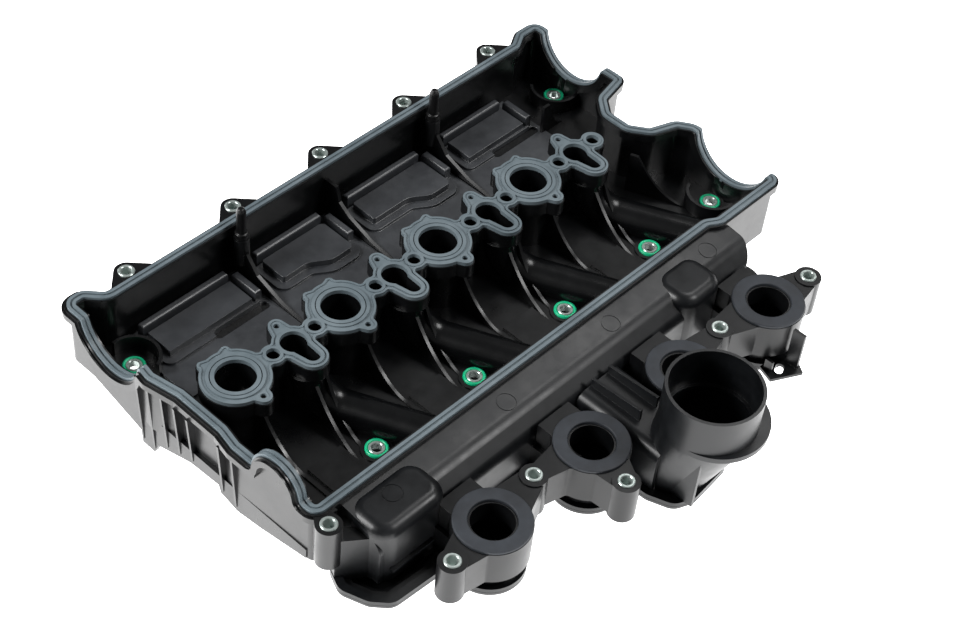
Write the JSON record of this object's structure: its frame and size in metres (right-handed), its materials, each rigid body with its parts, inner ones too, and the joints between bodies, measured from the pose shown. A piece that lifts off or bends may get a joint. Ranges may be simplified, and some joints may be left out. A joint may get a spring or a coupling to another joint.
{
  "type": "intake manifold",
  "caption": "Plastic intake manifold made in one with the camshaft cover of an in-line engine, with seals, steel limiters, throttle stub and port flange.",
  "frame": {"origin": "mouth of injector bore 1 in the sealing plane of the cover", "axes": "+X along the row of cylinders, +Y from the intake flange to the bolt ears, +Z out of the sealing plane"},
  "size_m": [0.4412, 0.3816, 0.106],
  "materials": {
    "cover_nylon": "moulded glass-filled nylon, satin",
    "manifold_nylon": "moulded glass-filled nylon, satin with a fine grain",
    "flange_nylon": "moulded glass-filled nylon, satin",
    "lower_nylon": "moulded glass-filled nylon",
    "baffle_nylon": "moulded nylon, satin",
    "runner_nylon": "moulded nylon, smooth",
    "pin_nylon": "moulded nylon",
    "blue_silicone": "moulded silicone, satin",
    "green_rubber": "moulded rubber, satin",
    "port_rubber": "moulded rubber, matt",
    "zinc_steel": "zinc plated, turned"
  },
  "bodies": {
    "root": {"cover_tray": "cover_nylon", "plenum_upper": "manifold_nylon", "port_flange_left": "flange_nylon", "port_flange_right": "flange_nylon", "throttle_inlet": "manifold_nylon", "lower_shell": "lower_nylon", "separator_plate_1": "baffle_nylon", "separator_plate_2": "baffle_nylon", "separator_plate_3": "baffle_nylon", "separator_plate_4": "baffle_nylon", "cable_bracket": "flange_nylon", "perimeter_gasket": "blue_silicone", "centre_gasket": "blue_silicone", "floor_seals": "green_rubber", "ear_limiters": "zinc_steel", "corner_limiter": "zinc_steel", "flange_limiters": "zinc_steel", "floor_limiters": "zinc_steel", "runner_1": "runner_nylon", "port_seal_1": "port_rubber", "runner_2": "runner_nylon", "port_seal_2": "port_rubber", "runner_3": "runner_nylon", "port_seal_3": "port_rubber", "runner_4": "runner_nylon", "port_seal_4": "port_rubber", "locating_pin_1": "pin_nylon", "locating_pin_2": "pin_nylon"}
  },
  "joints": []
}
